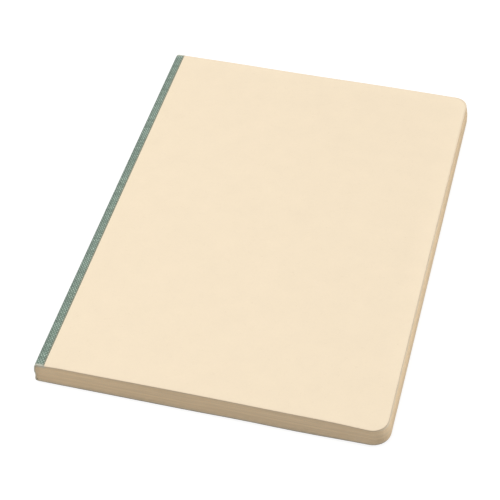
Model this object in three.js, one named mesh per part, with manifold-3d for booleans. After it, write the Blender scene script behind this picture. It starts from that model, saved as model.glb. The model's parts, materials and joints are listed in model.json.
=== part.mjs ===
// Softcover notebook: ten sewn sections between two card covers, held by a cloth tape over the spine.
// Millimetres, +Z up. The closed notebook lies on its back cover, with the spine at -X, the fore edge
// at +X, the tail edge at -Y and the head edge at +Y. The origin is the middle of the footprint.
import * as THREE from "three";
import { mergeVertices } from "three/addons/utils/BufferGeometryUtils.js";
import Module from "manifold-3d";

const wasm = await Module();
wasm.setup();

// Overall sheet size
const overallWidth = 148;
const overallLength = 210;
const cornerRadius = 8;
// How far the front cover's fore edge lies back from the back cover's, as a closed softcover leans.
const foreEdgeLean = 1.28;

// Card and paper
const coverThickness = 0.5;
const endpaperThickness = 0.12;
const leafThickness = 0.108;
const leavesPerSection = 8;
// The notebook falls open between its quarters: the sections in each, counted from the back cover.
const sectionsInQuarter = [2, 3, 3, 2];
// The air between two paper surfaces that part.
const pageAir = 0.025;

// Spine
const tapeThickness = 0.25;
// The strip of tape on each cover, from the spine's outer face.
const tapeOverCover = 4.4;
const liningThickness = 0.3;
// The inner radius of the lining where it turns towards a cover.
const spineRounding = 1.45;
const edgeClearance = 0.02;

// Sewing
const threadDiameter = 0.3;
const stitchClearance = 0.03;
const stitchCount = 4;
// From the tail or head edge to the nearest stitch hole.
const stitchMargin = 18;

// Faceting: an arc has twice as many flats
const cornerSegments = 4;
const spineSegments = 3;
const foldSegments = 4;
const threadSides = 6;

// Worked out from the driving sizes
const sectionCount = sectionsInQuarter.reduce((total, count) => total + count, 0);
const sectionThickness = leavesPerSection * leafThickness + pageAir;
const spineX = -overallWidth / 2;
const cornerRadiusOuter = spineRounding + liningThickness + tapeThickness;
const cornerRadiusTapeInner = cornerRadiusOuter - tapeThickness;
const cornerX = spineX + cornerRadiusOuter;
const foldRadius = sectionThickness / 2;
const channelRadius = threadDiameter / 2 + stitchClearance;
const halfLength = overallLength / 2;
const layers = stackLayers();
const overallThickness = layers.front_cover.top;

const looks = {
  card: new THREE.Color(0.96, 0.9, 0.8),
  endpaper: new THREE.Color(0.93, 0.88, 0.78),
  paper: new THREE.Color(0.87, 0.8, 0.67),
  tape: new THREE.Color(0.49, 0.59, 0.54),
  lining: new THREE.Color(0.84, 0.82, 0.76),
  thread: new THREE.Color(0.9, 0.87, 0.8),
};

const notebook = new THREE.Group();

function sectionName(index) {
  return "section_" + String(index).padStart(2, "0");
}

// The first and last section of each quarter of the page block.
function quarters() {
  let last = 0;
  return sectionsInQuarter.map((count) => {
    const first = last + 1;
    last += count;
    return { first, last };
  });
}

// Lays every sheet and section on the one below it, from the back cover up.
function stackLayers() {
  const stack = {};
  let height = 0;
  function lay(name, thickness) {
    stack[name] = { bottom: height, top: height + thickness };
    height += thickness;
  }
  lay("back_cover", coverThickness);
  lay("back_pastedown", endpaperThickness);
  height += pageAir;
  lay("back_flyleaf", endpaperThickness);
  for (const quarter of quarters()) {
    for (let index = quarter.first; index <= quarter.last; index += 1) {
      lay(sectionName(index), sectionThickness);
    }
    if (quarter.last < sectionCount) height += pageAir;
  }
  lay("front_flyleaf", endpaperThickness);
  height += pageAir;
  lay("front_pastedown", endpaperThickness);
  lay("front_cover", coverThickness);
  return stack;
}

function middleOf(layer) {
  return (layer.bottom + layer.top) / 2;
}

// The fore edge leans evenly, from the back cover out at the full width to the front cover.
function foreEdgeX(layer) {
  const share = layer.bottom / layers.front_cover.bottom;
  return overallWidth / 2 - foreEdgeLean * share;
}

// How far a surface on the spine's rounded corner lies in from the flat of the spine.
// The radius is the surface's own, about the corner's centre, and the height is where it is wanted.
function cornerInset(radius, height) {
  const depth = Math.min(height, overallThickness - height);
  const rise = THREE.MathUtils.clamp(cornerRadiusOuter - depth, 0, radius);
  return radius - Math.sqrt(radius * radius - rise * rise);
}

function toSolid(geometry) {
  const bare = geometry.clone();
  bare.deleteAttribute("normal");
  bare.deleteAttribute("uv");
  const merged = mergeVertices(bare, 1e-5);
  const mesh = new wasm.Mesh({
    numProp: 3,
    vertProperties: new Float32Array(merged.attributes.position.array),
    triVerts: new Uint32Array(merged.index.array),
  });
  return new wasm.Manifold(mesh);
}

function toGeometry(solid) {
  const mesh = solid.getMesh();
  const geometry = new THREE.BufferGeometry();
  geometry.setAttribute("position", new THREE.BufferAttribute(mesh.vertProperties, 3));
  geometry.setIndex(new THREE.BufferAttribute(mesh.triVerts, 1));
  geometry.computeVertexNormals();
  return geometry;
}

function box(low, high) {
  const size = new THREE.Vector3().subVectors(high, low);
  const centre = new THREE.Vector3().addVectors(low, high).multiplyScalar(0.5);
  const geometry = new THREE.BoxGeometry(size.x, size.y, size.z);
  geometry.translate(centre.x, centre.y, centre.z);
  return toSolid(geometry);
}

// Extrudes a profile drawn in X and Z over the whole length of the notebook.
function alongSpine(profile, curveSegments) {
  const options = { depth: overallLength, bevelEnabled: false, curveSegments };
  const geometry = new THREE.ExtrudeGeometry(profile, options);
  geometry.rotateX(Math.PI / 2);
  geometry.translate(0, halfLength, 0);
  return toSolid(geometry);
}

// Keeps what lies between two heights.
function slab(solid, bottom, top) {
  const low = new THREE.Vector3(-overallWidth, -overallLength, bottom);
  const high = new THREE.Vector3(overallWidth, overallLength, top);
  return solid.intersect(box(low, high));
}

// A flat sheet with the two rounded corners at its fore edge.
function sheet(layer, spineEdgeX) {
  const foreX = foreEdgeX(layer);
  const arcX = foreX - cornerRadius;
  const arcY = halfLength - cornerRadius;
  const outline = new THREE.Shape();
  outline.moveTo(spineEdgeX, -halfLength);
  outline.lineTo(arcX, -halfLength);
  outline.absarc(arcX, -arcY, cornerRadius, -Math.PI / 2, 0, false);
  outline.lineTo(foreX, arcY);
  outline.absarc(arcX, arcY, cornerRadius, 0, Math.PI / 2, false);
  outline.lineTo(spineEdgeX, halfLength);
  outline.closePath();
  const options = { depth: layer.top - layer.bottom, bevelEnabled: false, curveSegments: cornerSegments };
  const geometry = new THREE.ExtrudeGeometry(outline, options);
  geometry.translate(0, 0, layer.bottom);
  return toSolid(geometry);
}

function addPiece(name, solid, colour, roughness) {
  const material = new THREE.MeshStandardMaterial({ color: colour, roughness, metalness: 0 });
  const mesh = new THREE.Mesh(toGeometry(solid), material);
  mesh.name = name;
  notebook.add(mesh);
}

// A card cover. Its outer face is pressed down along the spine, so that the tape lies flush in it.
function addCover(name, tapeBottom) {
  const layer = layers[name];
  const card = sheet(layer, cornerX);
  const low = new THREE.Vector3(spineX, -overallLength, tapeBottom);
  const high = new THREE.Vector3(
    spineX + tapeOverCover + edgeClearance,
    overallLength,
    tapeBottom + tapeThickness,
  );
  addPiece(name, card.subtract(box(low, high)), looks.card, 0.85);
}

// An endpaper leaf, from the inside of the tape's bend to the fore edge.
function addEndpaper(name) {
  const layer = layers[name];
  const insets = [layer.bottom, layer.top].map((height) => cornerInset(cornerRadiusTapeInner, height));
  const edgeX = spineX + tapeThickness + Math.max(...insets) + edgeClearance;
  addPiece(name, sheet(layer, edgeX), looks.endpaper, 0.9);
}

// The centre line of a section's fold, which stays inside the lining's rounded corners.
function foldCentreX(layer) {
  const seat = spineX + tapeThickness + liningThickness + foldRadius + edgeClearance;
  return seat + cornerInset(spineRounding - foldRadius, middleOf(layer));
}

// The profile of a folded section: a round fold, a slit between its middle pages, and at the slit's
// end the channel that the inner fold leaves for the thread.
function sectionProfile(layer) {
  const foldX = foldCentreX(layer);
  const middle = middleOf(layer);
  const openX = overallWidth / 2 + 1;
  const slitAngle = Math.asin(pageAir / 2 / channelRadius);
  const slitX = foldX + channelRadius * Math.cos(slitAngle);
  const profile = new THREE.Shape();
  profile.moveTo(openX, layer.top);
  profile.lineTo(foldX, layer.top);
  profile.absarc(foldX, middle, foldRadius, Math.PI / 2, Math.PI * 1.5, false);
  profile.lineTo(openX, layer.bottom);
  profile.lineTo(openX, middle - pageAir / 2);
  profile.lineTo(slitX, middle - pageAir / 2);
  profile.absarc(foldX, middle, channelRadius, -slitAngle, slitAngle - 2 * Math.PI, true);
  profile.lineTo(openX, middle + pageAir / 2);
  profile.closePath();
  return profile;
}

// The stitch holes lie evenly along the fold, counted from the tail.
function stitchY(hole) {
  const span = overallLength - 2 * stitchMargin;
  return -span / 2 + (span * hole) / (stitchCount - 1);
}

// A section of folded sheets, with the holes that its thread comes out through.
function addSection(index) {
  const name = sectionName(index);
  const layer = layers[name];
  const foldX = foldCentreX(layer);
  const middle = middleOf(layer);
  let section = alongSpine(sectionProfile(layer), foldSegments).intersect(sheet(layer, spineX));
  for (let hole = 0; hole < stitchCount; hole += 1) {
    const y = stitchY(hole);
    const low = new THREE.Vector3(spineX, y - channelRadius, middle - channelRadius);
    const high = new THREE.Vector3(foldX, y + channelRadius, middle + channelRadius);
    section = section.subtract(box(low, high));
  }
  addPiece(name, section, looks.paper, 0.95);
}

// A section's thread: one run inside the fold, and at each hole the link that comes out to the lining.
function addThread(index) {
  const layer = layers[sectionName(index)];
  const foldX = foldCentreX(layer);
  const middle = middleOf(layer);
  const radius = threadDiameter / 2;
  const runLength = stitchY(stitchCount - 1) - stitchY(0) + threadDiameter;
  const run = new THREE.CylinderGeometry(radius, radius, runLength, threadSides);
  run.translate(foldX, 0, middle);
  let thread = toSolid(run);
  for (let hole = 0; hole < stitchCount; hole += 1) {
    const link = new THREE.CylinderGeometry(radius, radius, foldRadius, threadSides);
    link.rotateZ(Math.PI / 2);
    link.translate(foldX - foldRadius / 2, stitchY(hole), middle);
    thread = thread.add(toSolid(link));
  }
  const name = sectionName(index).replace("section", "sewing_thread");
  addPiece(name, thread, looks.thread, 0.8);
}

// The whole tape: a strip on each cover, joined by the bend over the spine.
function tapeProfile() {
  const stripX = spineX + tapeOverCover;
  const low = cornerRadiusOuter;
  const high = overallThickness - cornerRadiusOuter;
  const profile = new THREE.Shape();
  profile.moveTo(stripX, 0);
  profile.lineTo(cornerX, 0);
  profile.absarc(cornerX, low, cornerRadiusOuter, -Math.PI / 2, -Math.PI, true);
  profile.lineTo(spineX, high);
  profile.absarc(cornerX, high, cornerRadiusOuter, Math.PI, Math.PI / 2, true);
  profile.lineTo(stripX, overallThickness);
  profile.lineTo(stripX, overallThickness - tapeThickness);
  profile.lineTo(cornerX, overallThickness - tapeThickness);
  profile.absarc(cornerX, high, cornerRadiusTapeInner, Math.PI / 2, Math.PI, false);
  profile.lineTo(spineX + tapeThickness, low);
  profile.absarc(cornerX, low, cornerRadiusTapeInner, Math.PI, Math.PI * 1.5, false);
  profile.lineTo(stripX, tapeThickness);
  profile.closePath();
  return profile;
}

// The glued lining between the tape and the folds, round the same corners.
function liningProfile() {
  const low = cornerRadiusOuter;
  const high = overallThickness - cornerRadiusOuter;
  const profile = new THREE.Shape();
  profile.moveTo(cornerX, tapeThickness);
  profile.absarc(cornerX, low, cornerRadiusTapeInner, -Math.PI / 2, -Math.PI, true);
  profile.lineTo(spineX + tapeThickness, high);
  profile.absarc(cornerX, high, cornerRadiusTapeInner, Math.PI, Math.PI / 2, true);
  profile.lineTo(cornerX, high + spineRounding);
  profile.absarc(cornerX, high, spineRounding, Math.PI / 2, Math.PI, false);
  profile.lineTo(spineX + tapeThickness + liningThickness, low);
  profile.absarc(cornerX, low, spineRounding, Math.PI, Math.PI * 1.5, false);
  profile.closePath();
  return profile;
}

// Each quarter carries its own stretch of the tape and the lining. The outer ones reach over the
// flyleaves, up to the bend where a cover opens.
function addSpine() {
  const tape = alongSpine(tapeProfile(), spineSegments);
  const lining = alongSpine(liningProfile(), spineSegments);
  quarters().forEach(({ first, last }, index) => {
    const name = "quarter_" + (index + 1);
    const bottom = layers[sectionName(first)].bottom;
    const top = layers[sectionName(last)].top;
    const tapeBottom = first === 1 ? layers.back_flyleaf.bottom : bottom;
    const tapeTop = last === sectionCount ? layers.front_flyleaf.top : top;
    addPiece("spine_tape_" + name, slab(tape, tapeBottom, tapeTop), looks.tape, 0.9);
    addPiece("spine_lining_" + name, slab(lining, bottom, top), looks.lining, 0.9);
  });
  addPiece("back_tape_strip", slab(tape, -1, layers.back_pastedown.top), looks.tape, 0.9);
  addPiece(
    "front_tape_strip",
    slab(tape, layers.front_pastedown.bottom, overallThickness + 1),
    looks.tape,
    0.9,
  );
}

function addPageBlock() {
  for (let index = 1; index <= sectionCount; index += 1) {
    addSection(index);
    addThread(index);
  }
}

addCover("back_cover", 0);
addCover("front_cover", overallThickness - tapeThickness);
["back_pastedown", "back_flyleaf", "front_flyleaf", "front_pastedown"].forEach(addEndpaper);
addPageBlock();
addSpine();

export default notebook;
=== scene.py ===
"""Dresses the packed softcover notebook: card covers, folded sheets, cloth tape, lining and thread."""
import json
import math
import random

import bmesh
import bpy
from bpy.props import FloatProperty, FloatVectorProperty, IntProperty, PointerProperty
from mathutils import Matrix, Vector


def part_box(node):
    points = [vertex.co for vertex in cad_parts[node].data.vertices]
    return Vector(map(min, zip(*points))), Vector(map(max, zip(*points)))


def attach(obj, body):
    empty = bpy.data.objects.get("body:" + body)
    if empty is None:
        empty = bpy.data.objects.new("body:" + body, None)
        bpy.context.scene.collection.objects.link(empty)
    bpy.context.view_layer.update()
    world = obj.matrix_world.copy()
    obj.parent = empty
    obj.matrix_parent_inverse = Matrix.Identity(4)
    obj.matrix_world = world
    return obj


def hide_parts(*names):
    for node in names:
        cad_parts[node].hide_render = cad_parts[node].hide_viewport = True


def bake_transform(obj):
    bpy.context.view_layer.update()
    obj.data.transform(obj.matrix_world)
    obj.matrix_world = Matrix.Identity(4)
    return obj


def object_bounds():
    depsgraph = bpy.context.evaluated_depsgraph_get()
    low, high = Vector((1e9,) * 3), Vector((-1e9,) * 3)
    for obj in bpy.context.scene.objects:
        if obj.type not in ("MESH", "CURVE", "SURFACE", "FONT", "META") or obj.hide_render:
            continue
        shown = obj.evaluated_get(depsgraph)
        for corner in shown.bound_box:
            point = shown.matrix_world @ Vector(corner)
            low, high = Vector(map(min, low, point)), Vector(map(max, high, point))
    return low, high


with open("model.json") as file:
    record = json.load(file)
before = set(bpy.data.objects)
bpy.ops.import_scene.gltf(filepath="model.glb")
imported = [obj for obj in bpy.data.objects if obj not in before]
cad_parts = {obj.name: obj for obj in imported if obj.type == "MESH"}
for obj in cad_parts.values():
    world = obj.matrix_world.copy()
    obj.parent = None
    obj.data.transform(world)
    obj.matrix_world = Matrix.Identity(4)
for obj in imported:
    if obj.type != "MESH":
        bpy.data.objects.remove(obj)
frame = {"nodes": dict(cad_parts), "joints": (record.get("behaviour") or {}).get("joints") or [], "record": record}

bl_info = {
    "name": "Softcover Notebook",
    "version": (1, 0, 0),
    "blender": (4, 5, 0),
    "location": "3D View > Sidebar > Notebook",
    "description": "Builds a sewn notebook with card covers and a cloth tape over its spine",
    "category": "Add Mesh",
}

CAD_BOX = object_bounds()
MM = 0.001
PER_METRE = 1000

BODY_OF_NODE = {
    node: body
    for body, nodes in frame["record"]["behaviour"]["bodies"].items()
    for node in nodes
}
HINGE_HEIGHTS = {joint["name"]: joint["pos_m"][2] for joint in frame["joints"]}
OPENING_HEIGHTS = {
    section: HINGE_HEIGHTS[f"opening_after_section_{section:02d}"] for section in (2, 5, 8)
}
SECTIONS = range(1, 1 + sum(node.startswith("section_") for node in frame["nodes"]))

FRONT_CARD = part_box("front_cover")
BACK_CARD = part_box("back_cover")
SPINE_X = CAD_BOX[0].x
TOP_Z = CAD_BOX[1].z
TAIL_Y = CAD_BOX[0].y
HEAD_Y = CAD_BOX[1].y
CARD_END_X = FRONT_CARD[0].x
BEND_RADIUS = CARD_END_X - SPINE_X
STRIP_END_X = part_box("front_tape_strip")[1].x

# Room between neighbours, and the radius of the channel round each thread
LEDGE_GAP = 0.01 * MM
LEDGE_PLAY = 0.002 * MM
LEAF_PLAY = 0.006 * MM
SECTION_PLAY = 0.0125 * MM
THREAD_CHANNEL = 0.165 * MM

# Tolerances in metres, from wide to narrow
NEAR = 1e-6
LEVEL = 1e-7
WELD = 1e-8

# Where parts of the soft form start, and how far they reach, in millimetres
LIP_REACH = 0.5
STIFF_REACH = 8
EASE_REACH = 34
TAIL_REACH = 70
HEAD_REACH = 60
PRESS_REACH = 28
LIFT_REACH = 30
DROOP_REACH = 4
DROOP_WIDTH = 9
DROOP_EASE = 6
FLARE_REACH = 5
FLARE_TAIL_REACH = 45
SHOULDER_START = 9.4
SHOULDER_EASE = 0.7
SLANT_START = 10
SLANT_REACH = 1.5
SLANT_EASE = 0.2

# Waves in the covers: crest and span in millimetres, share of the setting, and rise
TAIL_WAVE = (-12, 110, 1, 0.25)
HEAD_WAVE = (35, 90, 0.75, 0.3)
BACK_WAVE = (-10, 46, -0.5, 0.5)

# Where pieces are cut so that they can bend: in millimetres, and as shares of a crease's reach
COLUMNS = range(-63, 72, 9)
ROWS = (*(TAIL_Y / MM + step for step in (2, 4, 7, 12, 19, 28, 40)), *range(-48, 105, 16))
CREASES = (-1, -0.75, -0.5, -0.3, -0.1, 0.1, 0.3, 0.5, 0.75, 1)

TRIM_SEED = 11
TAPE_ROUNDING = 0.05 * MM
FLOOR_SIZE = 4
# Edges between faces that turn by more than this, in radians, are square
SQUARE_ANGLE = 1.2


# Settings


def number(name, description, default, **more):
    return FloatProperty(name=name, description=description, default=default, **more)


def length(name, description, millimetres):
    more = {"precision": 6, "unit": "LENGTH", "subtype": "DISTANCE"}
    return number(name, description, millimetres * MM, **more)


def angle(name, description, degrees):
    return number(name, description, math.radians(degrees), subtype="ANGLE", unit="ROTATION")


def place(name, description, default):
    more = {"precision": 6, "subtype": "XYZ", "unit": "LENGTH"}
    return FloatVectorProperty(name=name, description=description, default=default, **more)


def tint(name, description, default):
    more = {"subtype": "COLOR", "min": 0, "max": 1}
    return FloatVectorProperty(name=name, description=description, default=default, **more)


class NotebookPaperSettings(bpy.types.PropertyGroup):
    """The folded sheets and the endpapers."""

    sheets_per_section: IntProperty(
        name="Sheets per section",
        description="Sheets folded into each other in one sewn section",
        default=4,
        min=1,
        max=6,
    )
    sheet_thickness: length("Sheet thickness", "Thickness of one writing sheet", 0.1)
    corner_radius: length(
        "Corner radius", "Radius of the trimmed corner at the tail, in the front cover", 7.0
    )
    corner_spread: length(
        "Corner spread", "How much the tail's radius grows to the back; the head's shrinks twice as much", 0.7
    )
    head_corner_radius: length("Head corner radius", "Radius of the trimmed corner at the head", 6.0)
    fore_swell: length("Fore swell", "How far the middle sheets stand out at the fore edge", 0.75)
    front_skew: length(
        "Front skew", "How far the front cover stands out further at the head's fore corner", 0.5
    )
    corner_press: length(
        "Corner press", "How far the front cover's corner at the tail and fore edge is pressed down", 1.05
    )
    corner_lift: length(
        "Corner lift", "How far the back cover's corner at the tail and fore edge stands off the table", 0.42
    )
    cover_lip: length(
        "Cover lip", "How far the sheets next to the front cover stand back from its fore edge", 0.35
    )
    tail_sway: length(
        "Tail sway", "How far the spine's sections stand out and in by turns at the tail", 0.16
    )
    tail_shoulder: length("Tail shoulder", "How far the spine's upper bend stands out at the tail", 0.3)
    tail_droop: length("Tail droop", "How far the spine's upper edge sinks at the tail", 0.4)
    tape_slant: length(
        "Tape slant", "How much further the tape reaches over the front cover at the tail", 0.25
    )
    front_wave: length("Front wave", "Depth of the soft waves along the front cover's edges", 0.16)
    back_wave: length("Back wave", "How far the back cover's tail edge lifts in soft waves", 0.27)
    trim_wander: length(
        "Trim wander", "How far single sheets stand back from the trimmed edge at most", 0.07
    )
    fold_ease: length(
        "Fold ease", "Length over which the sheets press together towards the fold", 2.2
    )
    page_colour: tint("Page colour", "Colour of the writing paper", (0.82, 0.72, 0.55))
    page_edge_colour: tint("Page edge colour", "Colour of the trimmed page edges", (0.95, 0.72, 0.46))
    endpaper_colour: tint(
        "Endpaper colour", "Colour of the pasted sheet and the flyleaf inside each cover", (0.84, 0.74, 0.57)
    )


class NotebookCoverSettings(bpy.types.PropertyGroup):
    """The two card covers."""

    edge_rounding: length("Edge rounding", "Radius of the card's cut edges", 0.07)
    card_colour: tint("Card colour", "Colour of the recycled card's faces", (0.935, 0.79, 0.588))
    dark_fibre_colour: tint(
        "Dark fibre colour", "Colour of the darker fibres in the card", (0.62, 0.47, 0.3)
    )
    light_fibre_colour: tint(
        "Light fibre colour", "Colour of the paler fibres in the card", (0.98, 0.9, 0.76)
    )
    card_edge_colour: tint("Card edge colour", "Colour of the card where it is cut", (0.68, 0.54, 0.38))
    # Partly the greyer card's own colour, partly painted contact shade where the back cover's edge meets the
    # table.
    back_edge_card_and_shade_colour: tint(
        "Back edge card and shade colour", "Colour of the back cover's cut edge, soiled by the table", (0.42, 0.37, 0.29)
    )
    # Painted shade: the colour towards which the lowest edges at the tail are darkened next to the floor.
    floor_shade_colour: tint(
        "Floor shade colour", "Colour of the dust on the lowest edges at the tail", (0.3, 0.29, 0.27)
    )


class NotebookSpineSettings(bpy.types.PropertyGroup):
    """The cloth tape over the spine and the lining under it."""

    tape_rise: length("Tape rise", "How far the cloth stands proud of the front cover", 0.05)
    tape_thickness: length("Tape thickness", "Thickness of the cloth with its backing", 0.25)
    back_bend_radius: length(
        "Back bend radius", "Outer radius of the tape where it turns under the back cover", 1.1
    )
    lining_thickness: length(
        "Lining thickness", "Thickness of the gauze and glue between the tape and the folds", 0.3
    )
    crease_reach: length(
        "Crease reach", "Half the height of the tape that bends where the notebook falls open", 0.45
    )
    warp_pitch: length(
        "Warp pitch", "Distance between the cloth's threads that run over the spine", 0.82
    )
    weft_pitch: length(
        "Weft pitch", "Distance between the cloth's threads that run along the spine", 0.6
    )
    warp_colour: tint(
        "Warp colour", "Colour of the cloth's threads that run over the spine", (0.33, 0.41, 0.35)
    )
    weft_colour: tint(
        "Weft colour", "Colour of the cloth's threads that run along the spine", (0.13, 0.202, 0.152)
    )
    cut_colour: tint(
        "Cut colour", "Colour of the pale backing where the cloth is cut", (0.72, 0.71, 0.59)
    )
    stained_cut_colour: tint(
        "Stained cut colour", "Colour of the cut cloth and gauze soaked with glue", (0.93, 0.82, 0.64)
    )
    # Partly glue stain, partly painted shadow of the tape's raised edge where it steps down on to the covers.
    edge_stain_and_shade_colour: tint(
        "Edge stain and shade colour", "Colour of the glue along the tape's edges on the covers", (0.28, 0.26, 0.18)
    )
    lining_colour: tint("Lining colour", "Colour of the glued gauze", (0.62, 0.57, 0.46))


class NotebookSewingSettings(bpy.types.PropertyGroup):
    """The thread that holds the sections."""

    twist_pitch: length("Twist pitch", "Length of one full turn of the thread's plies", 0.9)
    thread_colour: tint("Thread colour", "Colour of the linen thread", (0.8, 0.75, 0.64))


class NotebookStageSettings(bpy.types.PropertyGroup):
    """The floor, the lights and the camera."""

    floor_drop: length(
        "Floor drop", "How far the floor lies under the notebook, so that an opened cover lies above it", 0.8
    )
    room_light: number("Room light", "Strength of the even light from all round", 0.56, min=0)
    key_power: number(
        "Key power", "Power of the large soft lamp over the notebook", 6.6, min=0, unit="POWER"
    )
    key_place: place("Key place", "Place of the large soft lamp over the notebook", (-0.45, -0.14, 1.1))
    side_power: number(
        "Side power", "Power of the soft lamp low on the fore edge's side", 48.0, min=0, unit="POWER"
    )
    side_place: place(
        "Side place", "Place of the soft lamp low on the fore edge's side", (2.75, 1.75, 0.65)
    )
    lamp_size: length("Lamp size", "Width of each soft lamp", 1100)
    camera_azimuth: angle(
        "Camera azimuth", "Angle of the camera round the notebook, from straight in front of the tail", 14.639
    )
    camera_elevation: angle("Camera elevation", "Angle of the camera above the floor", 45.207)
    camera_roll: angle("Camera roll", "Turn of the camera about its line of sight", -0.493)
    camera_offset: place(
        "Camera offset",
        "Place of the notebook's origin seen from the camera: right, down and ahead",
        (8.881 * MM, -5.674 * MM, 710.441 * MM),
    )
    camera_lens: number("Camera lens", "Focal length in millimetres on a 36 mm sensor", 113.319, min=1)


SETTINGS = {
    "notebook_paper": NotebookPaperSettings,
    "notebook_cover": NotebookCoverSettings,
    "notebook_spine": NotebookSpineSettings,
    "notebook_sewing": NotebookSewingSettings,
    "notebook_stage": NotebookStageSettings,
}


# Shader groups


class Wiring:
    """Adds nodes to one tree and joins them."""

    def __init__(self, tree):
        self.tree = tree

    def add(self, kind, settings=None, inputs=None):
        node = self.tree.nodes.new(kind)
        node.location = (200 * len(self.tree.nodes), 0)
        for key, value in (settings or {}).items():
            setattr(node, key, value)
        for key, value in (inputs or {}).items():
            self.feed(node.inputs[key], value)
        return node

    def feed(self, socket, value):
        """Links another socket, or sets a number, a vector or a colour."""
        if isinstance(value, bpy.types.NodeSocket):
            self.tree.links.new(value, socket)
        elif isinstance(value, (int, float)) or len(socket.default_value) == 3:
            socket.default_value = value
        else:
            socket.default_value = (*value, 1)

    def math(self, operation, *values, clamp=False):
        node = self.add("ShaderNodeMath", {"operation": operation, "use_clamp": clamp})
        for socket, value in zip(node.inputs, values):
            self.feed(socket, value)
        return node.outputs[0]

    def times(self, first, second, clamp=False):
        return self.math("MULTIPLY", first, second, clamp=clamp)

    def line(self, value, slope, start):
        """The value times the slope, plus the start."""
        return self.math("MULTIPLY_ADD", value, slope, start)

    def vector(self, operation, first, second=(0, 0, 0)):
        return self.add("ShaderNodeVectorMath", {"operation": operation}, {0: first, 1: second}).outputs[0]

    def split(self, vector):
        return self.add("ShaderNodeSeparateXYZ", inputs={0: vector}).outputs

    def join(self, x, y):
        return self.add("ShaderNodeCombineXYZ", inputs={0: x, 1: y}).outputs[0]

    def noise(self, position, scale, detail, roughness=0.5, distortion=0.0):
        inputs = {
            "Vector": position,
            "Scale": scale,
            "Detail": detail,
            "Roughness": roughness,
            "Distortion": distortion,
        }
        return self.add("ShaderNodeTexNoise", inputs=inputs).outputs["Fac"]

    def ramp(self, value, low, high, to_low=0.0, to_high=1.0, smooth=True):
        settings = {"interpolation_type": "SMOOTHSTEP" if smooth else "LINEAR", "clamp": True}
        inputs = {"Value": value, "From Min": low, "From Max": high, "To Min": to_low, "To Max": to_high}
        return self.add("ShaderNodeMapRange", settings, inputs).outputs["Result"]

    def sway(self, field):
        """A noise field as a swing from -1 to 1."""
        return self.ramp(field, 0.3, 0.7, -1, 1, smooth=False)

    def mix(self, share, first, second):
        inputs = {0: share, 6: first, 7: second}
        return self.add("ShaderNodeMix", {"data_type": "RGBA"}, inputs).outputs[2]

    def brighten(self, colour, value):
        """The colour times a brightness of about 1."""
        return self.add("ShaderNodeHueSaturation", inputs={"Value": value, "Color": colour}).outputs["Color"]

    def group(self, name, inputs):
        return self.add("ShaderNodeGroup", {"node_tree": shader_group(name)}, inputs).outputs

    def millimetres(self, source):
        inputs = {"Vector": source, "Scale": (PER_METRE, PER_METRE, PER_METRE)}
        return self.add("ShaderNodeMapping", inputs=inputs).outputs[0]

    def position(self):
        """Object coordinates as millimetres."""
        return self.millimetres(self.add("ShaderNodeTexCoord").outputs["Object"])

    def cloth_run(self):
        """The piece's own map, along and over the spine, as millimetres."""
        return self.millimetres(self.add("ShaderNodeUVMap", {"uv_map": "cloth_run"}).outputs[0])

    def seen(self):
        """1 for what the camera and reflections see, and 0 for all other light."""
        path = self.add("ShaderNodeLightPath").outputs
        return self.math("MAXIMUM", path["Is Camera Ray"], path["Is Glossy Ray"])


def shader_group(name):
    """A node group, made the first time that it is asked for."""
    if name in bpy.data.node_groups:
        return bpy.data.node_groups[name]
    build, inputs, outputs = GROUPS[name]
    tree = bpy.data.node_groups.new(name, "ShaderNodeTree")
    for label, default in inputs.items():
        size = 1 if isinstance(default, float) else len(default)
        kind = {1: "NodeSocketFloat", 3: "NodeSocketVector", 4: "NodeSocketColor"}[size]
        socket = tree.interface.new_socket(name=label, in_out="INPUT", socket_type=kind)
        socket.default_value = default
    for label in outputs:
        kind = "NodeSocketColor" if label == "Colour" else "NodeSocketFloat"
        tree.interface.new_socket(name=label, in_out="OUTPUT", socket_type=kind)
    wiring = Wiring(tree)
    results = build(wiring, wiring.add("NodeGroupInput").outputs)
    sink = wiring.add("NodeGroupOutput")
    for label, socket in zip(outputs, results):
        tree.links.new(socket, sink.inputs[label])
    return tree


def paper_stock(wiring, source):
    """Mottled pulp with curved fibres and specks. Positions and sizes are in millimetres."""
    position = source["Position"]
    cloud = wiring.sway(wiring.noise(position, 0.09, 4, 0.55))
    pulp = wiring.sway(wiring.noise(position, 1.1, 3, 0.6))
    mottle = wiring.line(pulp, 0.7, cloud)
    colour = wiring.brighten(source["Base Colour"], wiring.line(mottle, source["Mottle"], 1.0))
    fibre_scale = wiring.math("DIVIDE", 1.0, source["Fibre Size"])
    masks = []
    for offset, width, rarity in (((0, 0, 0), 0.013, 0.56), ((37, 11, 5), 0.011, 0.58)):
        moved = wiring.vector("ADD", position, offset)
        field = wiring.noise(moved, fibre_scale, 1.5, 0.5, 0.8)
        hair = wiring.ramp(wiring.math("ABSOLUTE", wiring.math("SUBTRACT", field, 0.5)), 0.0, width, 1, 0)
        short = wiring.noise(moved, wiring.times(fibre_scale, 0.45), 1)
        masks.append(wiring.times(hair, wiring.ramp(short, rarity, rarity + 0.06)))
    cells = wiring.add(
        "ShaderNodeTexVoronoi",
        {"feature": "F1"},
        {"Vector": position, "Scale": wiring.times(fibre_scale, 0.32), "Randomness": 1.0},
    ).outputs
    picked = wiring.ramp(cells["Color"], 0.72, 0.74)
    speck = wiring.times(wiring.ramp(cells["Distance"], 0.03, 0.09, 1, 0), picked)
    dark = wiring.math("MAXIMUM", masks[0], speck)
    for mask, fibre in ((dark, "Dark Fibre"), (masks[1], "Light Fibre")):
        colour = wiring.mix(wiring.times(mask, source["Fibre Amount"], clamp=True), colour, source[fibre])
    grain = wiring.noise(position, 5.5, 3, 0.65)
    height = wiring.line(dark, 0.2, wiring.line(masks[1], 0.35, grain))
    roughness = wiring.line(grain, 0.12, wiring.line(pulp, 0.02, 0.74))
    return colour, height, roughness


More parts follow.
